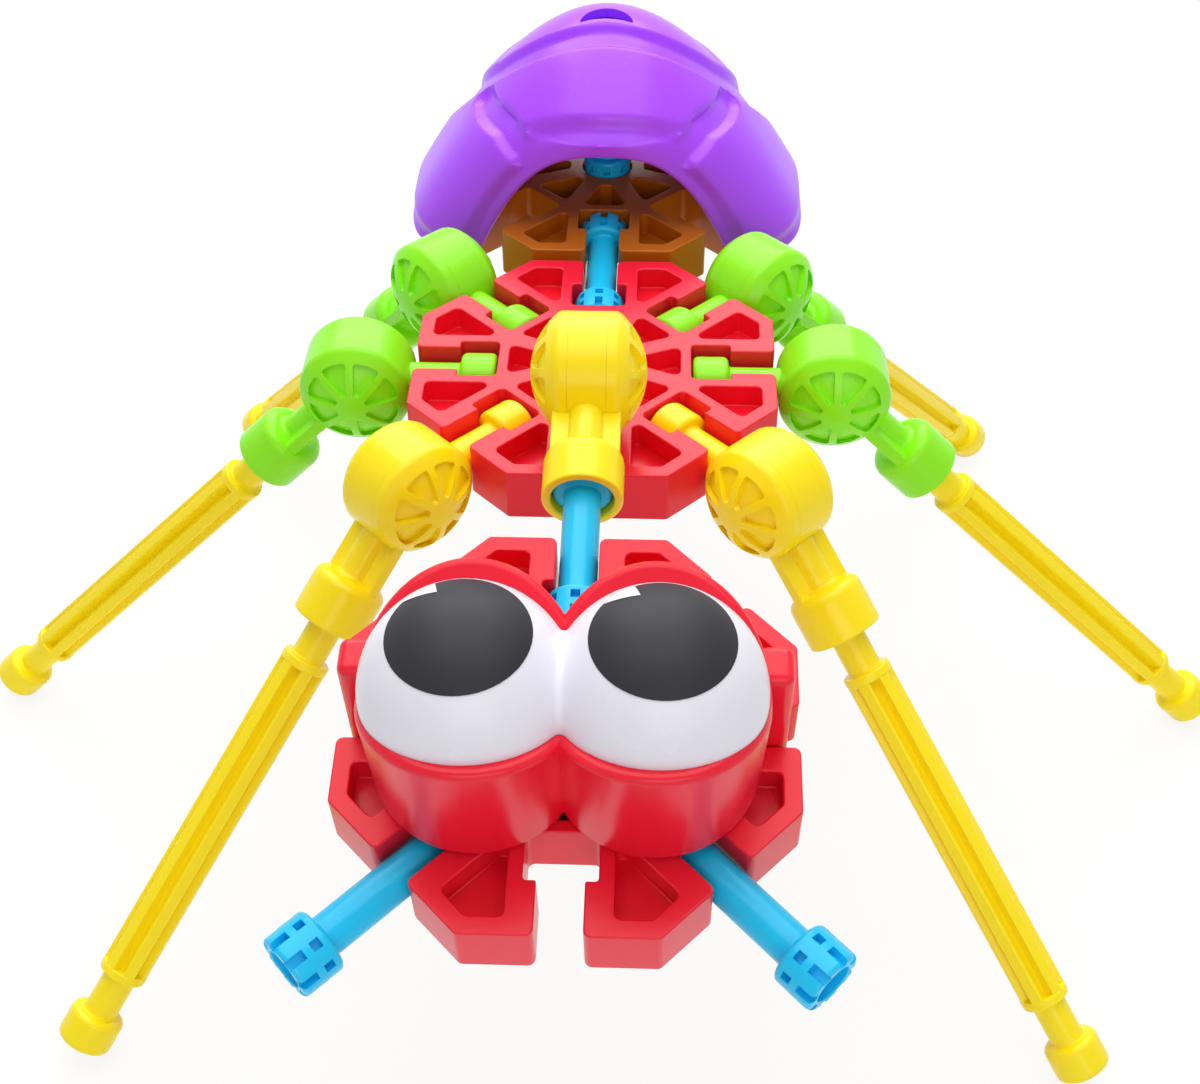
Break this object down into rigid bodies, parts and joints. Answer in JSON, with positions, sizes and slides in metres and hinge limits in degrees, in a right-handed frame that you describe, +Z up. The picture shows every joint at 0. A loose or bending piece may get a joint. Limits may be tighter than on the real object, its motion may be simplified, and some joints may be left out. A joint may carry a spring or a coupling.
{
  "type": "snap-together construction kit bug",
  "caption": "Toddler construction-kit bug: slotted octagon hubs on knobbed rods, hinged hips with ribbed rod legs, a pitching neck, round eyes in a mask and a domed shell.",
  "frame": {"origin": "bottom centre of the box round the whole bug, on the surface that its feet stand on", "axes": "+Z up, the head looks along -Y, +X to the right as the picture shows it"},
  "size_m": [0.2822, 0.2544, 0.1369],
  "materials": {
    "red_plastic": "glossy moulded",
    "orange_plastic": "glossy moulded",
    "purple_plastic": "glossy moulded",
    "green_plastic": "glossy moulded",
    "yellow_plastic": "glossy moulded",
    "blue_plastic": "glossy moulded",
    "white_plastic": "glossy moulded",
    "black_plastic": "high gloss",
    "pin_steel": "plain"
  },
  "bodies": {
    "thorax": {"thorax_hub": "red_plastic", "abdomen_hub": "orange_plastic", "waist_rod": "blue_plastic", "shell_peg": "blue_plastic", "shell": "purple_plastic", "neck_tab": "yellow_plastic", "front_left_hip_tab": "yellow_plastic", "front_right_hip_tab": "yellow_plastic", "middle_left_hip_tab": "green_plastic", "middle_right_hip_tab": "green_plastic", "rear_left_hip_tab": "green_plastic", "rear_right_hip_tab": "green_plastic"},
    "front_left_leg": {"front_left_hip_arm": "yellow_plastic", "front_left_hip_pin": "pin_steel", "front_left_leg_rod": "yellow_plastic"},
    "front_right_leg": {"front_right_hip_arm": "yellow_plastic", "front_right_hip_pin": "pin_steel", "front_right_leg_rod": "yellow_plastic"},
    "middle_left_leg": {"middle_left_hip_arm": "green_plastic", "middle_left_hip_pin": "pin_steel", "middle_left_leg_rod": "yellow_plastic"},
    "middle_right_leg": {"middle_right_hip_arm": "green_plastic", "middle_right_hip_pin": "pin_steel", "middle_right_leg_rod": "yellow_plastic"},
    "rear_left_leg": {"rear_left_hip_arm": "green_plastic", "rear_left_hip_pin": "pin_steel", "rear_left_leg_rod": "yellow_plastic"},
    "rear_right_leg": {"rear_right_hip_arm": "green_plastic", "rear_right_hip_pin": "pin_steel", "rear_right_leg_rod": "yellow_plastic"},
    "neck": {"neck_arm": "yellow_plastic", "neck_pin": "pin_steel"},
    "head": {"neck_rod": "blue_plastic", "head_hub": "red_plastic", "mandible_left": "blue_plastic", "mandible_right": "blue_plastic", "eye_mask": "red_plastic", "eye_white": "white_plastic", "pupil_left": "black_plastic", "pupil_right": "black_plastic"}
  },
  "joints": [
    {"name": "front_left_hip", "type": "hinge", "parent": "thorax", "child": "front_left_leg", "pos_m": [-0.0338, -0.01858, 0.09334], "axis": [0.7071, -0.7071, 0], "range_deg": [-90, 45]},
    {"name": "front_right_hip", "type": "hinge", "parent": "thorax", "child": "front_right_leg", "pos_m": [0.0338, -0.01858, 0.09334], "axis": [0.7071, 0.7071, 0], "range_deg": [-90, 45]},
    {"name": "middle_left_hip", "type": "hinge", "parent": "thorax", "child": "middle_left_leg", "pos_m": [-0.0478, 0.01522, 0.09334], "axis": [0, -1, 0], "range_deg": [-90, 45]},
    {"name": "middle_right_hip", "type": "hinge", "parent": "thorax", "child": "middle_right_leg", "pos_m": [0.0478, 0.01522, 0.09334], "axis": [0, 1, 0], "range_deg": [-90, 45]},
    {"name": "rear_left_hip", "type": "hinge", "parent": "thorax", "child": "rear_left_leg", "pos_m": [-0.0338, 0.04902, 0.09334], "axis": [-0.7071, -0.7071, 0], "range_deg": [-40, 45]},
    {"name": "rear_right_hip", "type": "hinge", "parent": "thorax", "child": "rear_right_leg", "pos_m": [0.0338, 0.04902, 0.09334], "axis": [-0.7071, 0.7071, 0], "range_deg": [-40, 45]},
    {"name": "neck_pitch", "type": "hinge", "parent": "thorax", "child": "neck", "pos_m": [0, -0.00798, 0.11274], "axis": [1, 0, 0], "range_deg": [-60, 18]},
    {"name": "head_roll", "type": "hinge", "parent": "neck", "child": "head", "pos_m": [0, -0.03309, 0.10777], "axis": [0, -0.981, -0.1942], "range_deg": [-30, 30]}
  ]
}
